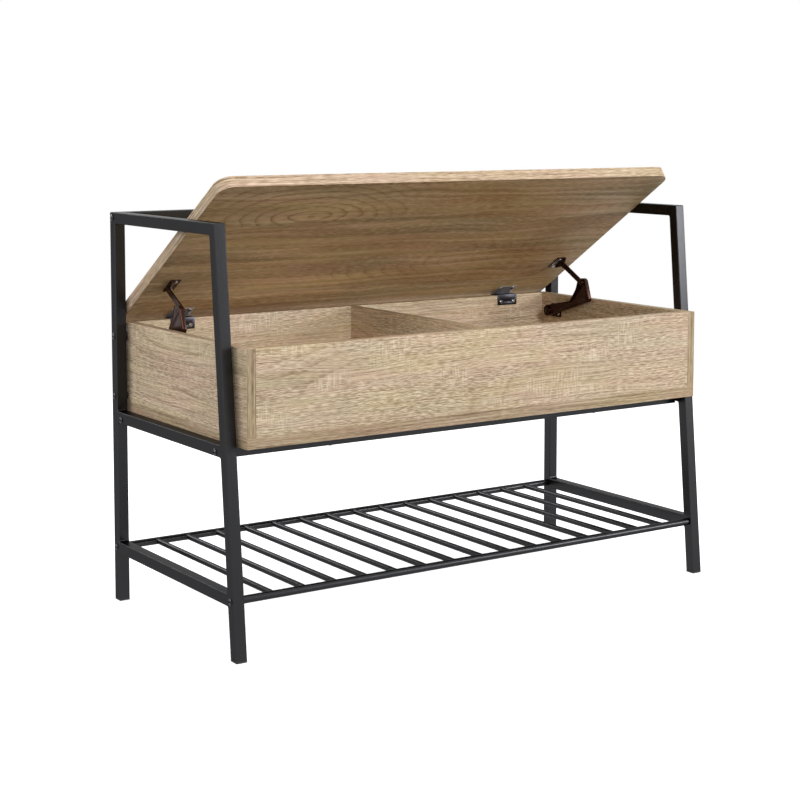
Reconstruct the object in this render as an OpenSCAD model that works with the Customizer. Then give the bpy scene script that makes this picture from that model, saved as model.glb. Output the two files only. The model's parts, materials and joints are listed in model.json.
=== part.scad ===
// Entryway storage bench: welded tube side frames, a slatted shoe shelf and a lidded box.
// Millimetres, +X to the user's right, +Y to the back, +Z up. The origin lies on the floor,
// under the middle of the bench with its lid at lid_open.

/* [Frame] */
// Width over the two side frames
bench_w = 1000; // [700:5:1400]
// Depth over the feet
bench_d = 454; // [420:1:520]
// Height of the side frames
bench_h = 695; // [670:1:760]
// How far the front legs lean back from the floor to the top
leg_rake = 62; // [30:1:80]
// Outside size of the square tube
tube = 20; // [18:1:25]
// Wall of the square tube
tube_wall = 1.2; // [1:0.1:2]
// Top of the side rails beside the box
mid_rail_top = 342.5; // [300:0.5:360]
// Top of the lower side rails
low_rail_top = 107; // [80:1:140]
// Clear distance from a leg to the cross rail beside it
cross_gap = 6; // [4:1:14]
// Leg of the weld bead in the corners of a side frame
bead = 4; // [2:0.5:6]
// Height of the foot glide's flange
glide_h = 3; // [2:0.5:6]

/* [Shelf] */
// Diameter of the front and rear shelf tubes
shelf_tube_d = 13; // [12:0.5:15]
// Wall of the shelf tubes
shelf_tube_wall = 1; // [0.8:0.1:1.5]
// Diameter of the shelf rods
rod_d = 10; // [6:0.5:11]
// Number of shelf rods
rod_count = 15; // [9:1:19]

/* [Box] */
// Thickness of the side, front, back and divider panels
panel_t = 16; // [15:1:18]
// Thickness of the bottom panel
bottom_t = 18; // [16:1:22]
// Height of the box
box_h = 160; // [140:1:180]
// Gap between the box and a side frame
box_gap = 4; // [3:0.5:6]
// How far the bottom of the box lies below the top of the side rails
box_sink = 3; // [1.5:0.5:4]
// How far the front of the box lies behind the front of the feet
box_set_in = 3; // [0:1:12]
// Height of the lower box bolt above the box bottom
bolt_low = 30; // [26:1:34]
// Height of the upper box bolt above the box bottom
bolt_high = 136; // [110:1:138]
// Distance of the screws under the box from its ends
rail_screw_inset = 191; // [150:1:220]
// Height of the lower dowels above the floor of the box
dowel_low = 35; // [30:1:45]
// Depth of the upper dowels below the top of the box
dowel_high = 45; // [40:1:55]
// Distance of the back panel's dowels from its bolts
dowel_off_bolt = 25; // [22:1:28]

/* [Lid] */
// Thickness of the lid
lid_t = 20; // [16:1:22]
// Gap between the lid and a side frame
lid_gap = 2; // [1.5:0.5:4]
// How far the closed lid stands out in front of the box
lid_nose = 4; // [0:1:10]
// How far the closed lid stands out behind the hinge pin
lid_back = 9; // [7:0.5:14]
// Radius of the lid's two front corners
lid_corner_r = 25; // [10:1:60]
// Angle at which the lid stands open
lid_open = 33; // [20:1:40]

/* [Hinges] */
// Distance of a hinge's middle from the end of the box
hinge_inset = 108; // [101:1:146]
// Length of a hinge
hinge_w = 48; // [40:1:50]
// Thickness of the hinge leaves
leaf_t = 1.2; // [1:0.1:1.4]
// Outside diameter of the knuckles
knuckle_d = 6; // [5.6:0.2:7]
// Diameter of the hinge pin
pin_d = 3; // [2.4:0.1:3.2]
// How far the box leaf reaches down inside the back panel
leaf_drop = 20; // [18:1:30]
// Length of the lid leaf from the pin
lid_leaf_len = 31; // [28:1:40]
// Distance of the leaf screws from the hinge's middle
leaf_screw_x = 15.5; // [12:0.5:18]

/* [Lid stays] */
// Distance of the stay's lid pivot from the hinge pin, along the lid
stay_reach = 129; // [118:1:140]
// Depth of the stay's lid pivot below the underside of the lid
stay_sink = 10; // [9:0.5:15]
// How far the upper arm runs forward from its lid pivot to the elbow
arm_run = 56; // [46:1:64]
// How far the upper arm drops from its lid pivot to the elbow
arm_drop = 31; // [26:1:38]
// Thickness of the upper arm
arm_t = 3; // [2.5:0.5:3.5]
// Radius of the upper arm's round ends
arm_end_r = 5; // [4.5:0.5:6]
// How far the lower arm's front corner lies forward of the elbow
lobe_fore = 10.5; // [8:0.5:13]
// How far the lower arm's front corner drops from the elbow
lobe_drop = 31; // [28:0.5:34]
// How far the lower arm's heel lies behind the elbow
heel_back = 33; // [31:0.5:35]
// How far the lower arm's heel drops from the elbow
heel_drop = 45; // [43:0.5:47]
// Depth of the pressed channel of the lower arm
channel_d = 8; // [6:0.5:9]
// Sheet of the lower arm, the base and the lid bracket
stay_sheet = 1.6; // [1.2:0.1:2]
// Corner radius of the lower arm's outline
channel_r = 9; // [8:0.5:10]
// Diameter of the stay's rivets
rivet_d = 5; // [4:0.5:6]

/* [Hardware] */
// Diameter of the frame bolts
bolt_d = 6; // [5:0.5:6]
// Diameter of a bolt's round head
bolt_head_d = 11; // [10:0.5:13]
// Height of a bolt's round head
bolt_head_h = 3.3; // [2.5:0.1:4]
// Diameter of the screws up into the box bottom
rail_screw_d = 4; // [3.5:0.5:5]
// Diameter of the long screws that join the box panels
panel_screw_d = 5; // [4:0.5:6]
// Diameter of the wooden dowels
dowel_d = 8; // [6:0.5:8]
// Diameter of the short hinge and stay screws
short_screw_d = 3.4; // [3:0.2:4]

/* [Clearances] */
// Clearance round a bolt in the tubes it passes through
bolt_play = 0.3; // [0.2:0.1:0.6]
// Clearance round a thread, a dowel or a screw in its own hole
thread_play = 0.05; // [0.02:0.01:0.1]
// Running clearance round a hinge pin
pin_play = 0.05; // [0.02:0.01:0.1]
// Running clearance round a stay rivet
rivet_play = 0.08; // [0.03:0.01:0.1]
// Clearance in the elbow of a stay, the one pivot that closes the linkage
elbow_play = 0.3; // [0.2:0.05:0.5]
// Gap between neighbouring parts that turn past each other
side_play = 0.4; // [0.3:0.1:0.6]
// Gap between the two leaves of a closed hinge
leaf_gap = 0.1; // [0.05:0.05:0.3]
// Gap between a plug and the tube round it
plug_play = 0.1; // [0.05:0.05:0.3]

/* [Hidden] */
$fn = 48;
oak = "#cdb892";
charcoal = "#3b3c3e";
bronze = "#3f281d";
steel = "#a3a3a5";
black = "#222222";

// Width
half_w = bench_w / 2;
inner_x = half_w - tube;
box_x = inner_x - box_gap;
wall_x = box_x - panel_t;
lid_x = inner_x - lid_gap;
hinge_x = box_x - hinge_inset;
rail_screw_x = box_x - rail_screw_inset;

// Levels
box_bottom_z = mid_rail_top - box_sink;
box_floor_z = box_bottom_z + bottom_t;
box_top_z = box_bottom_z + box_h;
shelf_z = low_rail_top - tube / 2;
cross_z = box_bottom_z - tube / 2;
top_rail_z = bench_h - tube / 2;

// The knuckle hangs below the box leaf's strap, behind the box, and the lid leaf lies on the
// strap, so the underside of the lid is a little above the pin
knuckle_r = knuckle_d / 2;
hinge_z = box_top_z + leaf_t - knuckle_r;
lid_rise = knuckle_r + leaf_gap + leaf_t;

// Depth: the back of the open lid stands a little behind the legs
hinge_back = knuckle_r + 0.2;
lid_over = hinge_back + lid_back * cos(lid_open) + (lid_rise + lid_t) * sin(lid_open);
front_y = -(bench_d + lid_over) / 2;
back_y = front_y + bench_d;
post_y = back_y - tube;
box_front_y = front_y + box_set_in;
wall_front_y = box_front_y + panel_t;
wall_back_y = back_y - panel_t;
hinge_y = back_y + hinge_back;
lid_len = hinge_y - box_front_y + lid_nose;
back_cross_y = post_y - cross_gap - tube;
front_cross_y = leg_y(cross_z) + tube + cross_gap;
front_tube_y = leg_y(shelf_z) + tube / 2;
rear_tube_y = post_y + tube / 2;

// Stay pivots in the Y-Z plane, with the lid at lid_open. The arms make a parallelogram
// with the hinge pin: base pivot to elbow runs as the lid does, and the upper arm stays level.
pivot_below = stay_sink - lid_rise;
lid_pivot = on_lid_point(stay_reach, pivot_below);
elbow = [lid_pivot[0] - arm_run, lid_pivot[1] - arm_drop];
base_pivot = [hinge_y - arm_run, hinge_z - arm_drop];
front_lobe = elbow + [-lobe_fore, -lobe_drop];
heel = elbow + [heel_back, -heel_drop];
waist = elbow + [0.795 * arm_run, -1.065 * arm_drop];
neck = elbow + [0.93 * arm_run, 0.5];
// Corners of the lower arm's outline, in order round it: centre and radius, which is negative
// in a hollow corner. They are a fan below the elbow, and a tail to the base pivot.
lobe_r = channel_r - 1;
hub_r = channel_r + 2;
neck_r = 0.607 * arm_run;
arm_corners = [[elbow, channel_r], [front_lobe, lobe_r], [heel, lobe_r], [base_pivot, hub_r],
    [waist, -lobe_r], [neck, -neck_r], [elbow + [lobe_r, 0], lobe_r]];

// The stay's layers, counted inwards from the side panel
base_t = stay_sheet;
hub_in = 8;
channel_in = hub_in + side_play;
arm_in = channel_in + channel_d + side_play;
ear_in = arm_in + arm_t + side_play;
bracket_w = 20;
bracket_back = 22;
bracket_fore = 16;

// Fasteners
bolt_r = bolt_d / 2;
bolt_hole_r = bolt_r + bolt_play;
grip = 12;
insert_r = bolt_r + 2;
plug_len = 15;
rail_screw_head = [4, 2.4];
rail_screw_up = bottom_t - 4;
panel_screw_len = 50;
panel_screw_head_r = 4.6;
panel_screw_xs = [0.26 * wall_x, wall_x - 80];
panel_screw_ys = [box_front_y + 30, 0, back_y - 62];
dowel_len = 30;
dowel_in_face = 9;
front_dowel_z = [box_floor_z + dowel_low, box_top_z - dowel_high];
back_dowel_z = [box_bottom_z + bolt_low + dowel_off_bolt, box_bottom_z + bolt_high - dowel_off_bolt];
short_screw_head = [3.5, 1.9];
short_screw_len = 12;
leaf_screw_z = box_top_z - leaf_drop + 7;
lid_leaf_screw = lid_leaf_len - 6;
bracket_screws = [stay_reach - bracket_back + 6, stay_reach + bracket_fore - 6];
base_plate = [26, 17];
base_screws = [for (s = [-1, 1]) [base_pivot[0] + s * (base_plate[0] - 6), base_pivot[1] - 6]];

// ---- Helpers -------------------------------------------------------------------------

// Front face of a front leg at height z
function leg_y(z) = front_y + leg_rake * z / bench_h;

// A point on the open lid: s along it from the pin, d square below the pin
function on_lid_point(s, d) = [
    hinge_y - s * cos(lid_open) - d * sin(lid_open),
    hinge_z + s * sin(lid_open) - d * cos(lid_open)];

// Hollow curve of a weld bead in the corner c, from a to b
function bead_curve(a, c, b) = [for (i = [0 : 4]) let (t = i / 4)
    (1 - t) * (1 - t) * a + 2 * t * (1 - t) * c + t * t * b];

// Draws the left side's parts as they are, or mirrored for the right side
module on_side(side) {
    if (side < 0) children();
    else mirror([1, 0, 0]) children();
}

// Draws in the open lid's own frame: pin at the origin, the lid running towards -Y
module on_lid() {
    translate([0, hinge_y, hinge_z]) rotate([-lid_open, 0, 0]) children();
}

// A prism along X with its outline in the Y-Z plane
module prism_x(points, x0, x1) {
    translate([x0, 0, 0]) rotate([90, 0, 90]) linear_extrude(x1 - x0) polygon(points);
}

// A round bar along X, Y or Z
module bar_x(r, x0, x1, y, z) {
    translate([x0, y, z]) rotate([0, 90, 0]) cylinder(r = r, h = x1 - x0);
}

module bar_y(r, y0, y1, x, z) {
    translate([x, y1, z]) rotate([90, 0, 0]) cylinder(r = r, h = y1 - y0);
}

module bar_z(r, z0, z1, x, y) {
    translate([x, y, z0]) cylinder(r = r, h = z1 - z0);
}

module block(low, high) {
    translate(low) cube(high - low);
}

// Direction of the straight edge from corner p to corner q, each a centre and a radius
function edge_angle(p, q) = let (v = q[0] - p[0])
    atan2(v[1], v[0]) - asin((q[1] - p[1]) / norm(v));

// Outline that runs round a list of corners, left-handed, with about 12 degrees to a step
function round_outline(corners) = let (n = len(corners)) [for (i = [0 : n - 1]) let (
    c = corners[i],
    from = edge_angle(corners[(i + n - 1) % n], c),
    to = edge_angle(c, corners[(i + 1) % n]),
    turn = c[1] > 0 ? (to - from + 720) % 360 : -((from - to + 720) % 360),
    steps = max(1, ceil(abs(turn) / 12)))
    for (k = [0 : steps]) let (a = from - 90 + turn * k / steps) c[0] + c[1] * [cos(a), sin(a)]];

// A flat link between two points, round at both ends
module link_shape(p, q, r) {
    run = norm(q - p);
    translate(p) circle(r);
    translate(q) circle(r);
    translate(p) rotate(atan2(q[1] - p[1], q[0] - p[0])) translate([0, -r]) square([run, 2 * r]);
}

// ---- Side frames ---------------------------------------------------------------------

// Heights of the bolts through a rear leg
rear_bolt_z = [shelf_z, box_bottom_z + bolt_low, box_bottom_z + bolt_high, top_rail_z];

module rear_post(side) {
    color(charcoal) on_side(side) difference() {
        block([-half_w, post_y, glide_h], [-inner_x, back_y, bench_h]);
        block([-half_w + tube_wall, post_y + tube_wall, 0],
            [-inner_x - tube_wall, back_y - tube_wall, bench_h - tube_wall]);
        for (z = rear_bolt_z) bar_x(bolt_hole_r, -half_w - 1, -inner_x + 1, rear_tube_y, z);
    }
}

// Slanted outline between two heights, between two faces set in from the leg's own
module leg_prism(z0, z1, inset, x0, x1) {
    prism_x([[leg_y(z0) + inset, z0], [leg_y(z0) + tube - inset, z0],
        [leg_y(z1) + tube - inset, z1], [leg_y(z1) + inset, z1]], x0, x1);
}

module front_post(side) {
    color(charcoal) on_side(side) difference() {
        leg_prism(glide_h, bench_h, 0, -half_w, -inner_x);
        leg_prism(0, bench_h - tube_wall, tube_wall, -half_w + tube_wall, -inner_x - tube_wall);
        bar_x(bolt_hole_r, -half_w - 1, -inner_x + 1, front_tube_y, shelf_z);
    }
}

// A rail between the two legs of a side frame, with weld beads in its corners
module side_rail(side, top, beads_above, bolts) {
    low = top - tube;
    slope = leg_rake / bench_h;
    function leg_back(z) = leg_y(z) + tube;
    under = concat(
        bead_curve([leg_back(low - bead), low - bead], [leg_back(low), low], [leg_back(low) + bead, low]),
        bead_curve([post_y - bead, low], [post_y, low], [post_y, low - bead]));
    above = beads_above
        ? concat(
            bead_curve([post_y, top + bead], [post_y, top], [post_y - bead, top]),
            bead_curve([leg_back(top) + bead, top], [leg_back(top), top], [leg_back(top + bead), top + bead]))
        : [[post_y, top], [leg_back(top), top]];
    color(charcoal) on_side(side) difference() {
        prism_x(concat(under, above), -half_w, -inner_x);
        block([-half_w + tube_wall, front_y, low + tube_wall], [-inner_x - tube_wall, back_y, top - tube_wall]);
        for (y = bolts) bar_x(bolt_hole_r, -half_w - 1, -inner_x + 1, y, cross_z);
    }
}

cross_bolt_y = [front_cross_y + tube / 2, back_cross_y + tube / 2];

module top_rail(side) side_rail(side, bench_h, false, []);
module mid_rail(side) side_rail(side, mid_rail_top, true, cross_bolt_y);
module low_rail(side) side_rail(side, low_rail_top, true, []);

module foot_glides() {
    color(black) for (side = [-1, 1]) on_side(side) {
        chamfer = glide_h / 3;
        in = tube_wall + plug_play;
        hull() {
            block([-half_w, post_y, chamfer], [-inner_x, back_y, glide_h]);
            block([-half_w + chamfer, post_y + chamfer, 0], [-inner_x - chamfer, back_y - chamfer, chamfer]);
        }
        block([-half_w + in, post_y + in, glide_h], [-inner_x - in, back_y - in, glide_h + plug_len]);
        hull() {
            leg_prism(chamfer, glide_h, 0, -half_w, -inner_x);
            leg_prism(0, chamfer, chamfer, -half_w + chamfer, -inner_x - chamfer);
        }
        leg_prism(glide_h, glide_h + plug_len, in, -half_w + in, -inner_x - in);
    }
}

// ---- Cross members -------------------------------------------------------------------

// A square tube across the bench, y0 to y0 + tube, its middle at height z
module cross_tube(y0, z, screws) {
    h = tube / 2;
    color(charcoal) difference() {
        block([-inner_x, y0, z - h], [inner_x, y0 + tube, z + h]);
        block([-inner_x - 1, y0 + tube_wall, z - h + tube_wall],
            [inner_x + 1, y0 + tube - tube_wall, z + h - tube_wall]);
        for (x = screws) bar_z(rail_screw_d / 2 + bolt_play, z - tube, z + tube, x, y0 + h);
    }
}

module rear_top_rail() cross_tube(post_y, top_rail_z, []);
module front_cross_rail() cross_tube(front_cross_y, cross_z, [-rail_screw_x, rail_screw_x]);
module rear_cross_rail() cross_tube(back_cross_y, cross_z, [-rail_screw_x, rail_screw_x]);

module shelf_tube(y) {
    color(charcoal) difference() {
        bar_x(shelf_tube_d / 2, -inner_x, inner_x, y, shelf_z);
        bar_x(shelf_tube_d / 2 - shelf_tube_wall, -inner_x - 1, inner_x + 1, y, shelf_z);
    }
}

// Rods from tube to tube, their ends coped to the tubes they are welded to
module shelf_rods() {
    pitch = 2 * inner_x / (rod_count + 1);
    reach = pitch * (rod_count - 1) / 2;
    color(charcoal) difference() {
        for (i = [0 : rod_count - 1])
            bar_y(rod_d / 2, front_tube_y, rear_tube_y, -reach + i * pitch, shelf_z, $fn = 32);
        for (y = [front_tube_y, rear_tube_y])
            bar_x(shelf_tube_d / 2, -inner_x, inner_x, y, shelf_z);
    }
}

// Threaded plugs that close the ends of the cross members
module rail_end_plugs() {
    h = tube / 2 - tube_wall - plug_play;
    r = shelf_tube_d / 2 - shelf_tube_wall - plug_play;
    squares = [[rear_tube_y, top_rail_z], [cross_bolt_y[0], cross_z], [cross_bolt_y[1], cross_z]];
    color(steel) for (side = [-1, 1]) on_side(side) {
        for (c = squares) difference() {
            block([-inner_x, c[0] - h, c[1] - h], [-inner_x + plug_len, c[0] + h, c[1] + h]);
            bar_x(bolt_r + thread_play, -inner_x - 1, -inner_x + plug_len + 1, c[0], c[1]);
        }
        for (y = [front_tube_y, rear_tube_y]) difference() {
            bar_x(r, -inner_x, -inner_x + plug_len, y, shelf_z);
            bar_x(bolt_r + thread_play, -inner_x - 1, -inner_x + plug_len + 1, y, shelf_z);
        }
    }
}

// A round-headed bolt with a hexagon socket, its head on the outside of the left frame
module bolt(len, y, z) {
    crown = bolt_head_d / 2;
    dome_r = (crown * crown + bolt_head_h * bolt_head_h) / (2 * bolt_head_h);
    translate([-half_w, y, z]) rotate([0, 90, 0]) {
        difference() {
            intersection() {
                translate([0, 0, dome_r - bolt_head_h]) sphere(dome_r);
                translate([0, 0, -bolt_head_h - 1]) cylinder(r = crown, h = bolt_head_h + 1);
            }
            translate([0, 0, -bolt_head_h - 1]) cylinder(r = 2.3, h = 3, $fn = 6);
        }
        cylinder(r = bolt_r, h = len);
    }
}

module frame_bolts() {
    rail_len = tube + grip;
    box_len = tube + box_gap + panel_t + grip;
    color(black) for (side = [-1, 1]) on_side(side) {
        bolt(rail_len, front_tube_y, shelf_z);
        bolt(rail_len, rear_tube_y, shelf_z);
        bolt(rail_len, rear_tube_y, top_rail_z);
        for (y = cross_bolt_y) bolt(rail_len, y, cross_z);
        for (h = [bolt_low, bolt_high]) bolt(box_len, rear_tube_y, box_bottom_z + h);
    }
}

// ---- Box -----------------------------------------------------------------------------

// Bores for the two box bolts of the left side, from the frame to the end of the inserts
module box_bolt_bores(r, x0, x1) {
    for (h = [bolt_low, bolt_high]) bar_x(r, x0, x1, rear_tube_y, box_bottom_z + h);
}

// The dowels of the left side, or their bores with play
module corner_dowels(play) {
    x0 = -wall_x - dowel_in_face;
    for (z = front_dowel_z)
        bar_x(dowel_d / 2 + play, x0 - play, x0 + dowel_len + play, wall_front_y - panel_t / 2, z);
    for (z = back_dowel_z)
        bar_x(dowel_d / 2 + play, x0 - play, x0 + dowel_len + play, wall_back_y + panel_t / 2, z);
}

module divider_dowels(play) {
    y0 = wall_front_y - dowel_in_face;
    y1 = wall_back_y + dowel_in_face;
    for (z = front_dowel_z) {
        bar_y(dowel_d / 2 + play, y0 - play, y0 + dowel_len + play, 0, z);
        bar_y(dowel_d / 2 + play, y1 - dowel_len - play, y1 + play, 0, z);
    }
}

module panel_dowels() {
    color("#d8bd8c") {
        for (side = [-1, 1]) on_side(side) corner_dowels(0);
        divider_dowels(0);
    }
}

// Places of the long screws up through the bottom panel
panel_screw_at = concat(
    [for (s = [-1, 1], y = panel_screw_ys) [s * (wall_x + panel_t / 2), y]],
    [for (s = [-1, 1], x = panel_screw_xs, y = [wall_front_y - panel_t / 2, wall_back_y + panel_t / 2])
        [s * x, y]],
    [for (y = [-90, 90]) [0, y]]);

module panel_screw(play, x, y) {
    bar_z(panel_screw_d / 2 + play, box_bottom_z, box_bottom_z + panel_screw_len + play, x, y);
    translate([x, y, box_bottom_z])
        cylinder(r1 = panel_screw_head_r + play, r2 = panel_screw_d / 2 + play, h = 3);
}

module panel_screws() {
    color(steel) for (p = panel_screw_at) panel_screw(0, p[0], p[1]);
}

module panel_screw_bores() {
    for (p = panel_screw_at) panel_screw(thread_play, p[0], p[1]);
}

// Screws up through the cross rails into the bottom panel
module rail_screw(play, x, y) {
    top = box_bottom_z + rail_screw_up;
    bar_z(rail_screw_d / 2 + play, box_bottom_z - tube, top + play, x, y);
}

module rail_screws() {
    under = box_bottom_z - tube;
    color(steel) for (x = [-rail_screw_x, rail_screw_x], y = cross_bolt_y) {
        rail_screw(0, x, y);
        translate([x, y, under - rail_screw_head[1]])
            cylinder(r1 = rail_screw_head[0] * 0.7, r2 = rail_screw_head[0], h = rail_screw_head[1]);
    }
}

module box_bottom() {
    color(oak) difference() {
        block([-box_x, box_front_y, box_bottom_z], [box_x, back_y, box_floor_z]);
        panel_screw_bores();
        for (x = [-rail_screw_x, rail_screw_x], y = cross_bolt_y) rail_screw(thread_play, x, y);
    }
}

module box_side(side) {
    color(oak) on_side(side) difference() {
        block([-box_x, box_front_y, box_floor_z], [-wall_x, back_y, box_top_z]);
        box_bolt_bores(bolt_hole_r, -half_w, -wall_x + 1);
        corner_dowels(thread_play);
        panel_screw_bores();
        stay_base_screw_set(thread_play);
    }
}

module box_front() {
    color(oak) difference() {
        block([-wall_x, box_front_y, box_floor_z], [wall_x, wall_front_y, box_top_z]);
        for (side = [-1, 1]) on_side(side) corner_dowels(thread_play);
        divider_dowels(thread_play);
        panel_screw_bores();
    }
}

module box_back() {
    color(oak) difference() {
        block([-wall_x, wall_back_y, box_floor_z], [wall_x, back_y, box_top_z]);
        for (side = [-1, 1]) on_side(side) {
            corner_dowels(thread_play);
            box_bolt_bores(insert_r, -wall_x - 1, -wall_x + plug_len);
        }
        divider_dowels(thread_play);
        panel_screw_bores();
        hinge_box_screw_set(thread_play);
    }
}

module box_divider() {
    color(oak) difference() {
        block([-panel_t / 2, wall_front_y, box_floor_z], [panel_t / 2, wall_back_y, box_top_z]);
        divider_dowels(thread_play);
        panel_screw_bores();
    }
}

// Threaded inserts in the ends of the back panel
module box_inserts() {
    color(steel) for (side = [-1, 1]) on_side(side) difference() {
        box_bolt_bores(insert_r, -wall_x, -wall_x + plug_len);
        box_bolt_bores(bolt_r + thread_play, -wall_x - 1, -wall_x + plug_len + 1);
    }
}

// Washers that fill the gap between the rear legs and the box
module box_spacers() {
    color(black) for (side = [-1, 1]) on_side(side) difference() {
        box_bolt_bores(bolt_head_d / 2 + 1, -inner_x, -box_x);
        box_bolt_bores(bolt_hole_r, -inner_x - 1, -box_x + 1);
    }
}

// ---- Lid and hinges ------------------------------------------------------------------

// A short screw along +Z from its head at the origin, or its bore with play
module short_screw(play) {
    cylinder(r = short_screw_d / 2 + play, h = short_screw_len + play);
}

module short_screw_head() {
    translate([0, 0, -short_screw_head[1]]) difference() {
        union() {
            translate([0, 0, 0.7]) cylinder(r = short_screw_head[0], h = short_screw_head[1] - 0.7);
            cylinder(r1 = short_screw_head[0] * 0.72, r2 = short_screw_head[0], h = 0.7);
        }
        for (a = [0, 90]) rotate(a) translate([-1.6, -0.3, -1]) cube([3.2, 0.6, 2]);
    }
}

module hinge_box_screw_set(play, heads = false) {
    for (side = [-1, 1], s = [-1, 1])
        translate([side * hinge_x + s * leaf_screw_x, wall_back_y - leaf_t, leaf_screw_z])
            rotate([-90, 0, 0]) {
                short_screw(play);
                if (heads) short_screw_head();
            }
}

module hinge_lid_screw_set(play, heads = false) {
    on_lid() for (side = [-1, 1], s = [-1, 1])
        translate([side * hinge_x + s * leaf_screw_x, -lid_leaf_screw, lid_rise - leaf_t]) {
            short_screw(play);
            if (heads) short_screw_head();
        }
}

module hinge_box_screws() color(steel) hinge_box_screw_set(0, true);
module hinge_lid_screws() color(steel) hinge_lid_screw_set(0, true);

module lid_panel() {
    r = lid_corner_r;
    color(oak) difference() {
        on_lid() translate([0, 0, lid_rise]) linear_extrude(lid_t) {
            translate([-lid_x, -lid_len + r]) square([2 * lid_x, lid_len - r + lid_back]);
            translate([-lid_x + r, -lid_len]) square([2 * (lid_x - r), r + 1]);
            for (s = [-1, 1]) translate([s * (lid_x - r), -lid_len + r]) circle(r, $fn = 96);
        }
        hinge_lid_screw_set(thread_play);
        stay_lid_screw_set(thread_play);
    }
}

// Knuckles take a quarter, a half and a quarter of the hinge's length
module hinge_middle(r, play) {
    bar_x(r, -hinge_w / 4 - play, hinge_w / 4 + play, 0, 0);
}

module hinge_ends(r, play) {
    for (s = [-1, 1]) {
        mid = s * hinge_w * 3 / 8;
        bar_x(r, mid - hinge_w / 8 - play, mid + hinge_w / 8 + play, 0, 0);
    }
}

module hinge_box_leaf(side) {
    h = hinge_w / 2;
    color(steel) translate([side * hinge_x, hinge_y, hinge_z]) {
        low = [wall_back_y - hinge_y, box_top_z - hinge_z];
        difference() {
            union() {
                block([-h, low[0] - leaf_t, low[1] - leaf_drop], [h, low[0], low[1] + leaf_t]);
                block([-h, low[0] - leaf_t, low[1]], [h, 0, low[1] + leaf_t]);
                hinge_ends(knuckle_r, 0);
            }
            hinge_middle(knuckle_r + side_play, side_play / 2);
            bar_x(pin_d / 2 + pin_play, -h - 1, h + 1, 0, 0);
            for (s = [-1, 1])
                bar_y(short_screw_d / 2 + thread_play, low[0] - leaf_t - 1, low[0] + 1,
                    s * leaf_screw_x, leaf_screw_z - hinge_z);
        }
    }
}

// The leaf lies flat under the lid, and its middle bends down behind the pin to the knuckle
module hinge_lid_leaf(side) {
    h = hinge_w / 2;
    bend = hinge_w / 4 - side_play;
    color(steel) on_lid() translate([side * hinge_x, 0, 0]) difference() {
        union() {
            block([-h + 2, -lid_leaf_len, lid_rise - leaf_t], [h - 2, knuckle_r, lid_rise]);
            block([-bend, knuckle_r - leaf_t, 0], [bend, knuckle_r, lid_rise]);
            hinge_middle(knuckle_r, 0);
        }
        hinge_ends(knuckle_r + side_play / 2, side_play / 2);
        bar_x(pin_d / 2 + pin_play, -h - 1, h + 1, 0, 0);
        for (s = [-1, 1])
            bar_z(short_screw_d / 2 + thread_play, 0, lid_rise + 1, s * leaf_screw_x, -lid_leaf_screw);
    }
}

module hinge_pin(side) {
    h = hinge_w / 2;
    color(steel) translate([side * hinge_x, hinge_y, hinge_z]) {
        bar_x(pin_d / 2, -h - 0.8, h + 0.8, 0, 0);
        for (s = [-1, 1]) translate([s * (h + 0.8), 0, 0]) rotate([0, s * 90, 0])
            cylinder(r1 = pin_d / 2 + 0.6, r2 = pin_d / 2, h = 0.8);
    }
}

// ---- Lid stays -----------------------------------------------------------------------

// Layers of a left stay run inwards from the side panel: from depth d0 to depth d1
module stay_layer(d0, d1) {
    translate([-wall_x + d0, 0, 0]) rotate([90, 0, 90]) linear_extrude(d1 - d0) children();
}

module stay_bore(p, r) {
    bar_x(r, -wall_x - 1, -wall_x + ear_in + 20, p[0], p[1]);
}

module stay_base_screw_set(play, heads = false) {
    for (p = base_screws) translate([-wall_x + base_t, p[0], p[1]]) rotate([0, -90, 0]) {
        short_screw(play);
        if (heads) short_screw_head();
    }
}

module stay_base(side) {
    color(bronze) on_side(side) difference() {
        union() {
            stay_layer(0, base_t) {
                translate([base_pivot[0] - base_plate[0], base_pivot[1] - base_plate[1] + 4])
                    square([2 * base_plate[0], base_plate[1]]);
                translate(base_pivot) circle(base_plate[1] - 4);
            }
            bar_x(channel_r - 1, -wall_x, -wall_x + hub_in, base_pivot[0], base_pivot[1]);
        }
        stay_bore(base_pivot, rivet_d / 2 + rivet_play);
        for (p = base_screws)
            bar_x(short_screw_d / 2 + thread_play, -wall_x - 1, -wall_x + base_t + 1, p[0], p[1]);
    }
}

// Outline of the pressed lower arm, or its hollow with the sheet as inset
module lower_arm_shape(inset) {
    polygon(round_outline([for (c = arm_corners) [c[0], c[1] - inset]]));
}

module stay_lower_arm(side) {
    d0 = channel_in;
    d1 = channel_in + channel_d;
    color(bronze) on_side(side) difference() {
        union() {
            difference() {
                stay_layer(d0, d1) lower_arm_shape(0);
                stay_layer(d0 + stay_sheet, d1 + 1) lower_arm_shape(stay_sheet);
            }
            bar_x(channel_r - 3, -wall_x + d0, -wall_x + d1, elbow[0], elbow[1]);
            bar_x(lobe_r - 4, -wall_x + d0, -wall_x + d1 + 1, front_lobe[0], front_lobe[1]);
            bar_x(hub_r - 4, -wall_x + d0, -wall_x + d1, base_pivot[0], base_pivot[1]);
        }
        stay_bore(elbow, rivet_d / 2 + rivet_play);
        stay_bore(base_pivot, rivet_d / 2 + rivet_play);
    }
}

module stay_upper_arm(side) {
    color(bronze) on_side(side) difference() {
        stay_layer(arm_in, arm_in + arm_t) link_shape(lid_pivot, elbow, arm_end_r);
        stay_bore(lid_pivot, rivet_d / 2 + rivet_play);
        stay_bore(elbow, rivet_d / 2 + elbow_play);
    }
}

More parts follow.
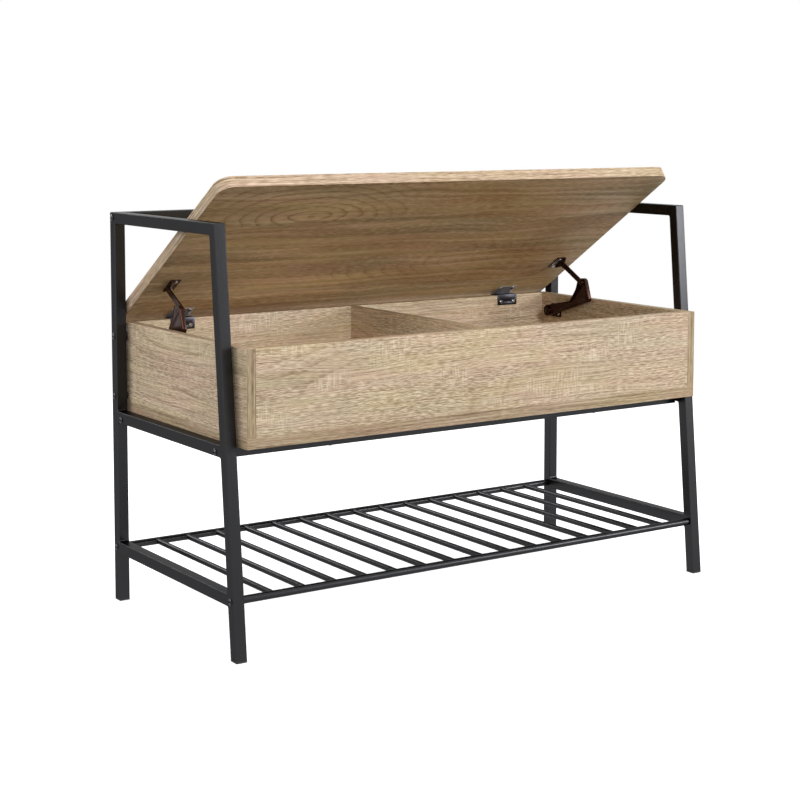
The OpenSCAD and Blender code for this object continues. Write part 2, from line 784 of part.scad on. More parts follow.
// Angle bracket under the lid: a plate with two screws and an ear for the upper arm
module stay_lid_bracket(side) {
    x0 = -wall_x + ear_in;
    ear_top = lid_rise - stay_sheet - 2;
    color(bronze) on_side(side) difference() {
        on_lid() union() {
            block([x0, -stay_reach - bracket_fore, lid_rise - stay_sheet],
                [x0 + bracket_w, -stay_reach + bracket_back, lid_rise]);
            prism_x([[-stay_reach - bracket_fore, lid_rise], [-stay_reach + bracket_back, lid_rise],
                [-stay_reach + bracket_back, ear_top], [-stay_reach + arm_end_r, -pivot_below],
                [-stay_reach - arm_end_r, -pivot_below], [-stay_reach - bracket_fore, ear_top]],
                x0, x0 + stay_sheet);
            bar_x(arm_end_r, x0, x0 + stay_sheet, -stay_reach, -pivot_below);
        }
        stay_bore(lid_pivot, rivet_d / 2 + rivet_play);
        stay_lid_screw_holes(thread_play);
    }
}

// The two lid screws of the left stay, through the bracket's plate
module stay_lid_screw_holes(play, heads = false) {
    on_lid() for (s = bracket_screws)
        translate([-wall_x + ear_in + bracket_w * 0.6, -s, lid_rise - stay_sheet]) {
            short_screw(play);
            if (heads) short_screw_head();
        }
}

module stay_lid_screw_set(play, heads = false) {
    for (side = [-1, 1]) on_side(side) stay_lid_screw_holes(play, heads);
}

// A rivet from depth d0 to d1, with a domed head on its inner end
module stay_rivet(side, p, d0, d1) {
    color(bronze) on_side(side) {
        bar_x(rivet_d / 2, -wall_x + d0, -wall_x + d1 + side_play, p[0], p[1]);
        translate([-wall_x + d1 + side_play, p[0], p[1]]) rotate([0, 90, 0]) {
            cylinder(r = rivet_d / 2 + 1.4, h = 0.8);
            translate([0, 0, 0.8]) cylinder(r1 = rivet_d / 2 + 1.4, r2 = rivet_d / 2 - 0.6, h = 1);
        }
    }
}

module stay_base_rivet(side) {
    stay_rivet(side, base_pivot, 0, channel_in + channel_d);
}

module stay_elbow_rivet(side) {
    stay_rivet(side, elbow, channel_in, arm_in + arm_t);
}

module stay_lid_rivet(side) {
    stay_rivet(side, lid_pivot, arm_in - side_play / 2, ear_in + stay_sheet - side_play);
}

module stay_base_screws() {
    color(steel) for (side = [-1, 1]) on_side(side) stay_base_screw_set(0, true);
}

module stay_lid_screws() color(steel) stay_lid_screw_set(0, true);

// ---- Parts ---------------------------------------------------------------------------

rear_post(-1);  // left_rear_post
front_post(-1);  // left_front_post
top_rail(-1);  // left_top_rail
mid_rail(-1);  // left_mid_rail
low_rail(-1);  // left_low_rail
rear_post(1);  // right_rear_post
front_post(1);  // right_front_post
top_rail(1);  // right_top_rail
mid_rail(1);  // right_mid_rail
low_rail(1);  // right_low_rail
rear_top_rail();
front_cross_rail();
rear_cross_rail();
shelf_tube(front_tube_y);  // shelf_front_tube
shelf_tube(rear_tube_y);  // shelf_rear_tube
shelf_rods();
foot_glides();
rail_end_plugs();
frame_bolts();
box_spacers();
box_bottom();
box_side(-1);  // box_left_side
box_side(1);  // box_right_side
box_front();
box_back();
box_divider();
box_inserts();
panel_dowels();
panel_screws();
rail_screws();
lid_panel();
hinge_box_leaf(-1);  // left_hinge_box_leaf
hinge_lid_leaf(-1);  // left_hinge_lid_leaf
hinge_pin(-1);  // left_hinge_pin
hinge_box_leaf(1);  // right_hinge_box_leaf
hinge_lid_leaf(1);  // right_hinge_lid_leaf
hinge_pin(1);  // right_hinge_pin
hinge_box_screws();
hinge_lid_screws();
stay_base(-1);  // left_stay_base
stay_lower_arm(-1);  // left_stay_lower_arm
stay_upper_arm(-1);  // left_stay_upper_arm
stay_lid_bracket(-1);  // left_stay_lid_bracket
stay_base_rivet(-1);  // left_stay_base_rivet
stay_elbow_rivet(-1);  // left_stay_elbow_rivet
stay_lid_rivet(-1);  // left_stay_lid_rivet
stay_base(1);  // right_stay_base
stay_lower_arm(1);  // right_stay_lower_arm
stay_upper_arm(1);  // right_stay_upper_arm
stay_lid_bracket(1);  // right_stay_lid_bracket
stay_base_rivet(1);  // right_stay_base_rivet
stay_elbow_rivet(1);  // right_stay_elbow_rivet
stay_lid_rivet(1);  // right_stay_lid_rivet
stay_base_screws();
stay_lid_screws();
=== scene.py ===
import json
import math
import random

import bmesh
import bpy
from mathutils import Matrix, Vector

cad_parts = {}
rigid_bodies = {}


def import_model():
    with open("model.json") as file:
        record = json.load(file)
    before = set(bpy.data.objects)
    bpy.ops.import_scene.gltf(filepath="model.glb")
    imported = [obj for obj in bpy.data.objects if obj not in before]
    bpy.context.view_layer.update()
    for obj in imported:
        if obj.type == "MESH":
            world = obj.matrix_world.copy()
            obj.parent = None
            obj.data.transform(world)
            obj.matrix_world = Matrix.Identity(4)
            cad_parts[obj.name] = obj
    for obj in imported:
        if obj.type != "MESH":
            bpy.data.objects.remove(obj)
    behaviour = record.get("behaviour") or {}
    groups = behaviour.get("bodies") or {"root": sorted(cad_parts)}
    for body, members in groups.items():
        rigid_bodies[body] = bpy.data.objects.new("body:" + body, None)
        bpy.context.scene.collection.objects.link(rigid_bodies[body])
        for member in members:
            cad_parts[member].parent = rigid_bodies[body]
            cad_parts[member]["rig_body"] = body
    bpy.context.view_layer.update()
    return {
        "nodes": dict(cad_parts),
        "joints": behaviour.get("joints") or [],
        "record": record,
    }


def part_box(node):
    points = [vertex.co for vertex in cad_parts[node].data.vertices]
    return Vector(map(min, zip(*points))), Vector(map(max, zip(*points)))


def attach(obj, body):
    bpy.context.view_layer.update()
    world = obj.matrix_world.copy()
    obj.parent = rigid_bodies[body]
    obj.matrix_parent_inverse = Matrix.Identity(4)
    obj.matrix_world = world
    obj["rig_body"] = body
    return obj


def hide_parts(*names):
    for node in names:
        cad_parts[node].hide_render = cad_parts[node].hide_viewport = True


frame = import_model()
nodes = frame["nodes"]
joints = {joint["name"]: joint for joint in frame["joints"]}
scene = bpy.context.scene
scene.view_settings.view_transform = "Standard"
print("frame loaded:", len(nodes), "nodes")


# Camera

camera = {
    "place": (-1.7761, -2.5999, 0.8623),
    "turn": 33.908,  # degrees from straight at the front, round to the left
    "tilt": 4.865,  # degrees down
    "lens": 77.98,
    "sensor": 36,
    "shiftY": -0.17,
}


def addCamera(values):
    data = bpy.data.cameras.new("camera")
    data.lens = values["lens"]
    data.sensor_width = values["sensor"]
    data.shift_y = values["shiftY"]
    data.clip_end = 60
    made = bpy.data.objects.new("camera", data)
    made.location = values["place"]
    made.rotation_euler = (math.radians(90 - values["tilt"]), 0, -math.radians(values["turn"]))
    scene.collection.objects.link(made)
    scene.camera = made


addCamera(camera)
print("camera set")


# Node building

def addNode(tree, kind, inputs=None, **settings):
    made = tree.nodes.new(kind)
    for key, value in settings.items():
        setattr(made, key, value)
    for key, value in (inputs or {}).items():
        if hasattr(value, "is_output"):
            tree.links.new(value, made.inputs[key])
        else:
            made.inputs[key].default_value = value
    return made


def maths(tree, operation, a, b=0.0, clamp=False):
    return addNode(tree, "ShaderNodeMath", {0: a, 1: b}, operation=operation, use_clamp=clamp).outputs[0]


def ramp(tree, factor, stops, mode="LINEAR"):
    made = addNode(tree, "ShaderNodeValToRGB", {"Fac": factor})
    band = made.color_ramp
    band.interpolation = mode
    while len(band.elements) < len(stops):
        band.elements.new(0.5)
    for element, (place, colour) in zip(band.elements, stops):
        element.position = place
        element.color = (*colour, 1) if isinstance(colour, tuple) else (colour, colour, colour, 1)
    return made.outputs["Color"]


def mixColour(tree, factor, a, b, blend="MIX"):
    made = addNode(tree, "ShaderNodeMix", data_type="RGBA", blend_type=blend)
    for key, value in ((0, factor), (6, a), (7, b)):
        if hasattr(value, "is_output"):
            tree.links.new(value, made.inputs[key])
        elif key == 0:
            made.inputs[0].default_value = value
        else:
            made.inputs[key].default_value = (*value, 1)
    return made.outputs[2]


def stretched(tree, vector, size, shift=(0, 0, 0)):
    # size is how many noise cells come to a metre, along the grain and across it
    along, across = size
    made = addNode(tree, "ShaderNodeMapping", {"Vector": vector, "Scale": (along, across, 1.0),
        "Location": shift})
    return made.outputs["Vector"]


def noise(tree, vector, scale=1.0, detail=2.0, roughness=0.5, distortion=0.0):
    made = addNode(tree, "ShaderNodeTexNoise", {"Vector": vector, "Scale": scale, "Detail": detail,
        "Roughness": roughness, "Distortion": distortion})
    return made.outputs["Fac"]


def mixedShader(tree, factor, a, b):
    return addNode(tree, "ShaderNodeMixShader", {0: factor, 1: a, 2: b}).outputs[0]


def newMaterial(name, **sockets):
    made = bpy.data.materials.new(name)
    made.use_nodes = True
    tree = made.node_tree
    shader = tree.nodes["Principled BSDF"]
    for key, value in sockets.items():
        shader.inputs[key.replace("_", " ")].default_value = value
    return made, tree, shader


# Lights and the room

room = {
    "ambient": (0.66, 0.66, 0.66),
    "floorColour": (0.80, 0.80, 0.80),
    "floorBounce": (0.12, 0.115, 0.11),
    "floorGlow": 0.62,  # how much of the floor's whiteness is its own
    "floorHalf": 14,  # half its side, in metres
    "floorReach": 4.0,  # metres, and the two shares of it between which the floor turns plain white
    "floorFade": (0.3, 0.8),
    "target": (0, 0, 0.4),  # all lamps point here
    "key": {"place": (3.2, -3.5, 1.35), "size": 1.4, "power": 74},
    "fill": {"place": (-0.6, -4.8, 2.7), "size": 2.4, "power": 104},
    "side": {"place": (-4.4, 1.6, 1.8), "size": 2.4, "power": 74},
    "top": {"place": (0.2, -0.2, 4.2), "size": 3.0, "power": 60},
    "rim": {"place": (-0.9, 4.0, 2.3), "size": 1.3, "power": 48},
}


def showsRoom(tree):
    # 1 on the rays that show the room to the eye, also in a mirror or through glass
    path = addNode(tree, "ShaderNodeLightPath")
    mirrored = maths(tree, "MAXIMUM", path.outputs["Is Glossy Ray"], path.outputs["Is Transmission Ray"])
    return maths(tree, "MAXIMUM", path.outputs["Is Camera Ray"], mirrored)


def addWorld():
    world = bpy.data.worlds.new("world")
    world.use_nodes = True
    scene.world = world
    tree = world.node_tree
    shader = tree.nodes["Background"]
    colour = mixColour(tree, showsRoom(tree), room["ambient"], (1.0, 1.0, 1.0))
    tree.links.new(colour, shader.inputs["Color"])


def addFloor():
    bm = bmesh.new()
    bmesh.ops.create_grid(bm, x_segments=1, y_segments=1, size=room["floorHalf"])
    mesh = bpy.data.meshes.new("floor")
    bm.to_mesh(mesh)
    floor = bpy.data.objects.new("floor", mesh)
    scene.collection.objects.link(floor)
    material, tree, shader = newMaterial("floorPaint", Roughness=0.9)
    shader.inputs["Specular IOR Level"].default_value = 0.0
    seen = showsRoom(tree)
    paint = mixColour(tree, seen, room["floorBounce"], room["floorColour"])
    tree.links.new(paint, shader.inputs["Base Color"])
    place = addNode(tree, "ShaderNodeTexCoord").outputs["Object"]
    far = addNode(tree, "ShaderNodeVectorMath", {0: place}, operation="LENGTH").outputs["Value"]
    near, away = room["floorFade"]
    fade = ramp(tree, maths(tree, "DIVIDE", far, room["floorReach"]), [(near, 0.0), (away, 1.0)], "EASE")
    glow = addNode(tree, "ShaderNodeEmission", {"Color": (1, 1, 1, 1)})
    strength = mixColour(tree, fade, (room["floorGlow"],) * 3, (1.0, 1.0, 1.0))
    tree.links.new(strength, glow.inputs["Strength"])
    # close by the floor is painted and takes the shadow, far away it only glows
    lit = addNode(tree, "ShaderNodeAddShader", {0: shader.outputs[0], 1: glow.outputs[0]})
    faded = mixedShader(tree, fade, lit.outputs[0], glow.outputs[0])
    # a reflection shows it as plain white, no brighter than it looks
    white = addNode(tree, "ShaderNodeEmission", {"Color": (1, 1, 1, 1)})
    mirrored = addNode(tree, "ShaderNodeLightPath").outputs["Is Glossy Ray"]
    shown = mixedShader(tree, mirrored, faded, white.outputs[0])
    surface = mixedShader(tree, seen, shader.outputs[0], shown)
    tree.links.new(surface, tree.nodes["Material Output"].inputs["Surface"])
    mesh.materials.append(material)


def addLamp(name, values):
    data = bpy.data.lights.new(name, "AREA")
    data.shape = "DISK"
    data.size = values["size"]
    data.energy = values["power"]
    lamp = bpy.data.objects.new(name, data)
    lamp.location = values["place"]
    aim = Vector(room["target"]) - lamp.location
    lamp.rotation_euler = aim.to_track_quat("-Z", "Y").to_euler()
    scene.collection.objects.link(lamp)


addWorld()
addFloor()
for lampName in ("key", "fill", "side", "top", "rim"):
    addLamp(lampName, room[lampName])
print("room lit")


# Finishes

coat = {
    "dark": (0.0340, 0.0342, 0.0360), "light": (0.0430, 0.0433, 0.0456), "roughness": 0.29,
    "spread": 0.10,  # how much its roughness varies
    "cloud": 6.0, "peel": 900.0,  # cells to a metre of its shade and of its orange peel
    "peelStrength": 0.12, "peelDepth": 0.0004,
    "glance": 0.5,  # how much of its sheen is left at a glancing angle
}


def powderCoat():
    # a metal's reflection, which can be dimmed at a glancing angle, stands in for the coat's satin
    glance = coat["glance"]
    material, tree, shader = newMaterial("powderCoat", Metallic=1.0,
        Specular_Tint=(glance, glance, glance, 1))
    place = addNode(tree, "ShaderNodeTexCoord").outputs["Object"]
    cloud = noise(tree, place, coat["cloud"], 3.0)
    grit = noise(tree, place, coat["peel"], 2.0, 0.6)
    tree.links.new(mixColour(tree, cloud, coat["dark"], coat["light"]), shader.inputs["Base Color"])
    rough = maths(tree, "MULTIPLY_ADD", grit, coat["spread"])
    rough.node.inputs[2].default_value = coat["roughness"] - coat["spread"] / 2
    tree.links.new(rough, shader.inputs["Roughness"])
    bump = addNode(tree, "ShaderNodeBump", {"Height": grit, "Strength": coat["peelStrength"],
        "Distance": coat["peelDepth"]})
    tree.links.new(bump.outputs[0], shader.inputs["Normal"])
    return material


oak = {
    "pink": (0.71, 0.520, 0.405),
    "straw": (0.68, 0.560, 0.360),
    "grey": (0.56, 0.495, 0.370),
    "rust": (0.42, 0.260, 0.140),
    "late": (0.25, 0.155, 0.083),
    "streak": (0.17, 0.108, 0.060),
    "pale": (0.95, 0.84, 0.69),
    "stave": 0.128,  # width of the staves that the face is printed as
    "arch": 1.15,  # from one figure to the next along a stave
    "run": 7.0,  # how far apart the staves' pieces may lie along the figure
    "lean": 1.3,  # and across it, in widths of a stave
    "shiftStep": 0.618, "leanStep": 0.755, "shadeStep": 0.382,  # these steps tell staves apart
    "waveShare": 0.14,  # how far the small waves move the fibres, beside the broad bends
    "poreStrength": 0.3, "poreDepth": 0.0004,
    "smooth": 0.46, "rough": 0.64,  # the roughness of its pale and of its dark fibres
    "gloss": 0.22,
}
# noise cells to a metre, along the grain and across it, of the layers that all faces share
layers = {
    "zones": (3.0, 15.0), "warm": (4.5, 20.0), "broad": (1.6, 11.0), "bend": (3.4, 9.0),
    "wave": (18.0, 46.0), "strong": (2.8, 10.0), "lively": (4.0, 14.0), "saw": (300.0, 34.0),
    "sawPatch": (7.5, 17.0),
}
# How a face is cut. Pairs are noise cells to a metre along and across the grain, for the
# flecks, the long lines and the broad bands of fibres. Rings are to a metre across it.
# "blunt" is how blunt their arches are, "wander" how far the fibres follow the rings' bends
# and "calm" what is left of the flecks where the figure is calm. The others are the strengths
# of the layers, and the tint that goes over them all.
cuts = {
    "panel": {"fleck": (72.0, 800.0), "line": (7.0, 470.0), "bands": (2.2, 48.0), "rings": 50.0,
        "blunt": 0.30, "wander": 0.030, "flecks": 0.50, "lines": 0.48, "calm": 0.42, "band": 0.30,
        "ring": 0.62, "broad": 0.10, "zone": 0.70, "saw": 0.38, "tint": (0.925, 0.895, 0.835)},
    # the inner boards' cut: its tint is lighter than the panel's, painted light that brightens the inside of
    # the box
    "inside": {"fleck": (75.0, 780.0), "line": (8.0, 480.0), "bands": (2.2, 48.0), "rings": 50.0,
        "blunt": 0.30, "wander": 0.030, "flecks": 0.42, "lines": 0.42, "calm": 0.42, "band": 0.24,
        "ring": 0.40, "broad": 0.10, "zone": 0.70, "saw": 0.38, "tint": (1.04, 1.03, 1.0)},
    # the lid's underside: its tint is darker and warmer than the panel's, painted shade for a face that
    # looks down
    "lid": {"fleck": (60.0, 460.0), "line": (2.2, 95.0), "bands": (2.2, 8.0), "rings": 62.0,
        "blunt": 0.50, "wander": 0.050, "flecks": 0.24, "lines": 0.30, "calm": 0.8, "band": 1.0,
        "ring": 0.85, "broad": 0.30, "zone": 1.0, "saw": 0.12, "tint": (0.87, 0.78, 0.60)},
    "band": {"fleck": (60.0, 700.0), "line": (5.0, 330.0), "bands": (2.2, 60.0), "rings": 190.0,
        "blunt": 0, "wander": 0.008, "flecks": 0.28, "lines": 0.55, "calm": 0.9, "band": 0.20,
        "ring": 0.85, "broad": 0.08, "zone": 0.5, "saw": 0, "tint": (0.68, 0.64, 0.56)},
    "lidEdge": {"fleck": (48.0, 800.0), "line": (5.0, 420.0), "bands": (2.2, 60.0), "rings": 200.0,
        "blunt": 0, "wander": 0.004, "flecks": 0.42, "lines": 0.56, "calm": 0.9, "band": 0.15,
        "ring": 0.60, "broad": 0.06, "zone": 0.5, "saw": 0, "tint": (0.80, 0.735, 0.68)},
}


def oakFinish(name, cut, edge=False):
    material, tree, shader = newMaterial(name)
    flat = addNode(tree, "ShaderNodeUVMap", uv_map="grain").outputs["UV"]
    parts = addNode(tree, "ShaderNodeSeparateXYZ", {"Vector": flat})
    along, across = parts.outputs["X"], parts.outputs["Y"]
    place = flat
    if not edge:
        # each stave has its own piece of the figure, cut off sharply at its joints
        stave = maths(tree, "FLOOR", maths(tree, "DIVIDE", across, oak["stave"]))
        shift, lean, shade = [maths(tree, "FRACT", maths(tree, "MULTIPLY", stave, oak[step]))
            for step in ("shiftStep", "leanStep", "shadeStep")]
        along = maths(tree, "ADD", along, maths(tree, "MULTIPLY", shift, oak["run"]))
        middle = maths(tree, "MULTIPLY", maths(tree, "ADD", stave, 0.5), oak["stave"])
        offset = maths(tree, "MULTIPLY", maths(tree, "SUBTRACT", lean, 0.5), oak["stave"] * oak["lean"])
        across = maths(tree, "ADD", maths(tree, "SUBTRACT", across, middle), offset)
        place = addNode(tree, "ShaderNodeCombineXYZ", {"X": along, "Y": across, "Z": stave}).outputs[0]

    zones = noise(tree, stretched(tree, place, layers["zones"]), 1.0, 3.0, 0.55)
    warm = noise(tree, stretched(tree, place, layers["warm"], shift=(4, 7, 0)), 1.0, 2.0)
    colour = mixColour(tree, ramp(tree, warm, [(0.38, 0.0), (0.62, 1.0)]), oak["pink"], oak["straw"])
    greyer = ramp(tree, zones, [(0.46, 0.0), (0.68, cut["zone"])])
    colour = mixColour(tree, greyer, colour, oak["grey"])
    broad = noise(tree, stretched(tree, place, layers["broad"], shift=(8, 2, 0)), 1.0, 2.0, 0.55)
    broad = ramp(tree, broad, [(0.40, 1 - cut["broad"]), (0.60, 1 + cut["broad"] * 0.3)])
    colour = mixColour(tree, 1.0, colour, broad, "MULTIPLY")
    if not edge:
        colour = mixColour(tree, 1.0, colour, ramp(tree, shade, [(0.0, 0.90), (1.0, 1.04)]), "MULTIPLY")

    # growth rings: long ovals about a point on the stave, bent by broad and by small waves
    bend = noise(tree, stretched(tree, place, layers["bend"], shift=(1, 2, 0)), 1.0, 1.5, 0.45)
    wave = noise(tree, stretched(tree, place, layers["wave"], shift=(6, 1, 0)), 1.0, 2.0, 0.5)
    strong = noise(tree, stretched(tree, place, layers["strong"], shift=(9, 3, 0)), 1.0, 2.0)
    if edge:
        phase = maths(tree, "MULTIPLY", across, cut["rings"])
        strong = ramp(tree, strong, [(0.36, 0.35), (0.68, 0.90)])
    else:
        sweep = maths(tree, "SUBTRACT", maths(tree, "PINGPONG", along, oak["arch"]), oak["arch"] / 2)
        flatter = maths(tree, "POWER", maths(tree, "MULTIPLY", sweep, cut["blunt"]), 2.0)
        oval = maths(tree, "POWER", maths(tree, "ADD", flatter, maths(tree, "POWER", across, 2.0)), 0.5)
        phase = maths(tree, "MULTIPLY", oval, cut["rings"])
        near = ramp(tree, maths(tree, "ABSOLUTE", sweep), [(0.08, 0.85), (0.26, 0.0)])
        near = maths(tree, "MULTIPLY", near, ramp(tree, shade, [(0.35, 0.15), (0.55, 1.0)]))
        strong = ramp(tree, strong, [(0.40, 0.0), (0.56, 0.22), (0.70, 0.80)])
        strong = maths(tree, "ADD", strong, near, clamp=True)
    bendRings, waveRings = (1.2, 0.4) if edge else (3.2, 0.5)  # how many rings they bend by
    phase = maths(tree, "ADD", phase, maths(tree, "MULTIPLY", bend, bendRings))
    phase = maths(tree, "ADD", phase, maths(tree, "MULTIPLY", wave, waveRings))
    ring = maths(tree, "FRACT", phase)
    late = ramp(tree, ring, [(0.0, 0.45), (0.06, 0.0), (0.62, 0.05), (0.84, 0.45), (0.93, 1.0), (1.0, 0.45)])
    amount = maths(tree, "MULTIPLY", maths(tree, "MULTIPLY", late, strong), cut["ring"])
    colour = mixColour(tree, amount, colour, oak["late"])

    # fibres follow the same bend: broad bands, long lines, then short flecks
    drift = maths(tree, "ADD", across, maths(tree, "MULTIPLY", bend, cut["wander"]))
    drift = maths(tree, "ADD", drift, maths(tree, "MULTIPLY", wave, cut["wander"] * oak["waveShare"]))
    depth = 0.0 if edge else stave
    bent = addNode(tree, "ShaderNodeCombineXYZ", {"X": along, "Y": drift, "Z": depth}).outputs[0]
    band = noise(tree, stretched(tree, bent, cut["bands"], shift=(3, 8, 0)), 1.0, 2.0, 0.5)
    bands = ramp(tree, band, [(0.42, 0.0), (0.58, 0.45), (0.66, 0.85)])
    colour = mixColour(tree, maths(tree, "MULTIPLY", bands, cut["band"]), colour, oak["rust"])
    line = noise(tree, stretched(tree, bent, cut["line"]), 1.0, 2.0, 0.5, 0.15)
    darkLines = ramp(tree, line, [(0.52, 0.0), (0.58, 0.5 * cut["lines"]), (0.66, cut["lines"])])
    colour = mixColour(tree, darkLines, colour, oak["streak"])
    colour = mixColour(tree, ramp(tree, line, [(0.34, cut["lines"]), (0.45, 0.0)]), colour, oak["pale"])
    fleck = noise(tree, stretched(tree, bent, cut["fleck"]), 1.0, 1.0, 0.5)
    lively = noise(tree, stretched(tree, place, layers["lively"], shift=(5, 6, 0)), 1.0, 2.0)
    lively = ramp(tree, lively, [(0.38, cut["calm"]), (0.56, 1.0)])
    darkFlecks = ramp(tree, fleck, [(0.49, 0.0), (0.60, 0.8 * cut["flecks"])])
    darkFlecks = maths(tree, "MULTIPLY", darkFlecks, lively)
    paleFlecks = maths(tree, "MULTIPLY", ramp(tree, fleck, [(0.38, cut["flecks"]), (0.49, 0.0)]), lively)
    colour = mixColour(tree, darkFlecks, colour, oak["streak"])
    colour = mixColour(tree, paleFlecks, colour, oak["pale"])

    # saw marks: faint pale ticks across the grain, in patches
    if cut["saw"]:
        saw = noise(tree, stretched(tree, flat, layers["saw"]), 1.0, 2.0)
        patch = noise(tree, stretched(tree, flat, layers["sawPatch"], shift=(2, 5, 0)), 1.0, 1.0)
        patch = ramp(tree, patch, [(0.56, 0.0), (0.68, 1.0)])
        marks = maths(tree, "MULTIPLY", ramp(tree, saw, [(0.50, 0.0), (0.62, cut["saw"])]), patch)
        colour = mixColour(tree, marks, colour, oak["pale"])
    colour = mixColour(tree, 1.0, colour, cut["tint"], "MULTIPLY")
    tree.links.new(colour, shader.inputs["Base Color"])

    rough = ramp(tree, line, [(0.3, oak["smooth"]), (0.7, oak["rough"])])
    tree.links.new(rough, shader.inputs["Roughness"])
    relief = maths(tree, "SUBTRACT", 1.0, maths(tree, "ADD", darkLines, darkFlecks))
    bump = addNode(tree, "ShaderNodeBump", {"Height": relief, "Strength": oak["poreStrength"],
        "Distance": oak["poreDepth"]})
    tree.links.new(bump.outputs[0], shader.inputs["Normal"])
    shader.inputs["Specular IOR Level"].default_value = oak["gloss"]
    return material


# cells to a metre of a metal's shade and of its fine grain, its darkest shade and its bumps
metal = {"cloud": 60.0, "grain": 1760.0, "darker": 0.72, "bump": 0.06, "bumpDepth": 0.0002}


def plainMetal(name, colour, roughness, metallic=1.0, spread=0.06, gloss=0.5):
    material, tree, shader = newMaterial(name, Metallic=metallic, Specular_IOR_Level=gloss)
    place = addNode(tree, "ShaderNodeTexCoord").outputs["Object"]
    cloud = noise(tree, place, metal["cloud"], 3.0)
    fine = noise(tree, place, metal["grain"], 2.0)
    darker = tuple(c * metal["darker"] for c in colour)
    tree.links.new(mixColour(tree, cloud, darker, colour), shader.inputs["Base Color"])
    rough = maths(tree, "MULTIPLY_ADD", fine, spread)
    rough.node.inputs[2].default_value = roughness - spread / 2
    tree.links.new(rough, shader.inputs["Roughness"])
    bump = addNode(tree, "ShaderNodeBump", {"Height": fine, "Strength": metal["bump"],
        "Distance": metal["bumpDepth"]})
    tree.links.new(bump.outputs[0], shader.inputs["Normal"])
    return material


finish = {
    "coat": powderCoat(),
    "oak": oakFinish("oakFace", cuts["panel"]),
    # a lighter copy of the oak, painted light for the boards inside the box
    "oakInside": oakFinish("oakInside", cuts["inside"]),
    "oakBand": oakFinish("oakBand", cuts["band"], edge=True),
    "oakLidEdge": oakFinish("oakLidEdge", cuts["lidEdge"], edge=True),
    # a darker, warmer copy of the oak, painted shade for the lid's underside
    "oakUnder": oakFinish("oakUnder", cuts["lid"]),
    "bronze": plainMetal("bronzeLacquer", (0.047, 0.0175, 0.0104), 0.20, 0.6, gloss=0.20),
    "nickel": plainMetal("nickelPlate", (0.62, 0.60, 0.57), 0.24),
    "hinge": plainMetal("hingeSteel", (0.065, 0.065, 0.077), 0.36),
    # the lid leaves: a paler, less metallic copy of the hinge steel, painted light that shows them bright
    # where the box leaves stay dark
    "knuckle": plainMetal("knuckleSteel", (0.42, 0.41, 0.42), 0.30, 0.45),
    "zinc": plainMetal("zincPlate", (0.55, 0.55, 0.56), 0.38),
    "bolt": plainMetal("blackOxide", (0.010, 0.010, 0.011), 0.17, 0.0, gloss=0.35),
    "plastic": plainMetal("glidePlastic", (0.022, 0.022, 0.023), 0.48, 0.0, spread=0.10),
    "beech": plainMetal("dowelBeech", (0.62, 0.46, 0.30), 0.6, 0.0),
}
print("finishes made:", len(finish))


# Pieces

def link(name, mesh, material, body, stands=()):
    piece = bpy.data.objects.new(name, mesh)
    scene.collection.objects.link(piece)
    if not mesh.materials:
        mesh.materials.append(material)
    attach(piece, body)
    if stands:
        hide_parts(*stands)
    return piece


def smoothFaces(mesh, sharpest=40):
    for polygon in mesh.polygons:
        polygon.use_smooth = True
    mesh.set_sharp_from_angle(angle=math.radians(sharpest))


def weighted(mesh):
    holder = bpy.data.objects.new("holder", mesh)
    scene.collection.objects.link(holder)
    holder.modifiers.new("normals", "WEIGHTED_NORMAL").keep_sharp = True
    return plainMesh(holder)


def plainMesh(holder):
    bpy.context.view_layer.update()
    seen = holder.evaluated_get(bpy.context.evaluated_depsgraph_get())
    mesh = bpy.data.meshes.new_from_object(seen)
    mesh.name = holder.name
    bpy.data.objects.remove(holder)
    return mesh


def blockMesh(name, low, high, radius, segments=3):
    bm = bmesh.new()
    bmesh.ops.create_cube(bm, size=1)
    for vertex in bm.verts:
        vertex.co = Vector(high[i] if vertex.co[i] > 0 else low[i] for i in range(3))
    bmesh.ops.bevel(bm, geom=bm.edges[:], offset=radius, segments=segments, profile=0.5, affect="EDGES")
    mesh = bpy.data.meshes.new(name)
    bm.to_mesh(mesh)
    bm.free()
    return mesh


def mergedCopy(node):
    bm = bmesh.new()
    bm.from_mesh(nodes[node].data)
    bmesh.ops.remove_doubles(bm, verts=bm.verts, dist=1e-6)
    return bm


def solidBoxes(node):
    bm = mergedCopy(node)
    left = set(bm.verts)
    boxes = []
    while left:
        first = left.pop()
        group = [first]
        stack = [first]
        while stack:
            for edge in stack.pop().link_edges:
                for vertex in edge.verts:
                    if vertex in left:
                        left.discard(vertex)
                        stack.append(vertex)
                        group.append(vertex)
        low = Vector(min(v.co[i] for v in group) for i in range(3))
        high = Vector(max(v.co[i] for v in group) for i in range(3))
        boxes.append((low, high))
    bm.free()
    return sorted(boxes, key=lambda pair: tuple(pair[0]))


# Side frames: each is one weldment, ground flush and coated

tubeWork = {
    "corner": 0.0017,  # radius of the tube's own edges
    "topCorner": 0.002,  # radius of the frame's outline at the ends of the top rail
}
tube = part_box("rear_top_rail")[1].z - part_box("rear_top_rail")[0].z


def legFront(side, z):
    low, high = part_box(side + "_front_post")
    lean = (high.y - tube - low.y) / (high.z - low.z)
    return low.y + lean * (z - low.z)


def railLevels(side, name):
    low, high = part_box(f"{side}_{name}")
    if name == "top_rail":
        return high.z - tube, high.z
    middle = (low.z + high.z) / 2
    return middle - tube / 2, middle + tube / 2


def roundedCorners(points, radii, steps=5):
    path = []
    for i, (corner, radius) in enumerate(zip(points, radii)):
        corner = Vector(corner)
        before = (Vector(points[i - 1]) - corner).normalized()
        after = (Vector(points[(i + 1) % len(points)]) - corner).normalized()
        if radius <= 0:
            path.append(corner)
            continue
        reach = radius / math.tan(before.angle(after) / 2)
        for step in range(steps + 1):
            t = step / steps
            a = corner + before * reach
            b = corner + after * reach
            path.append((1 - t) ** 2 * a + 2 * t * (1 - t) * corner + t ** 2 * b)
    return path


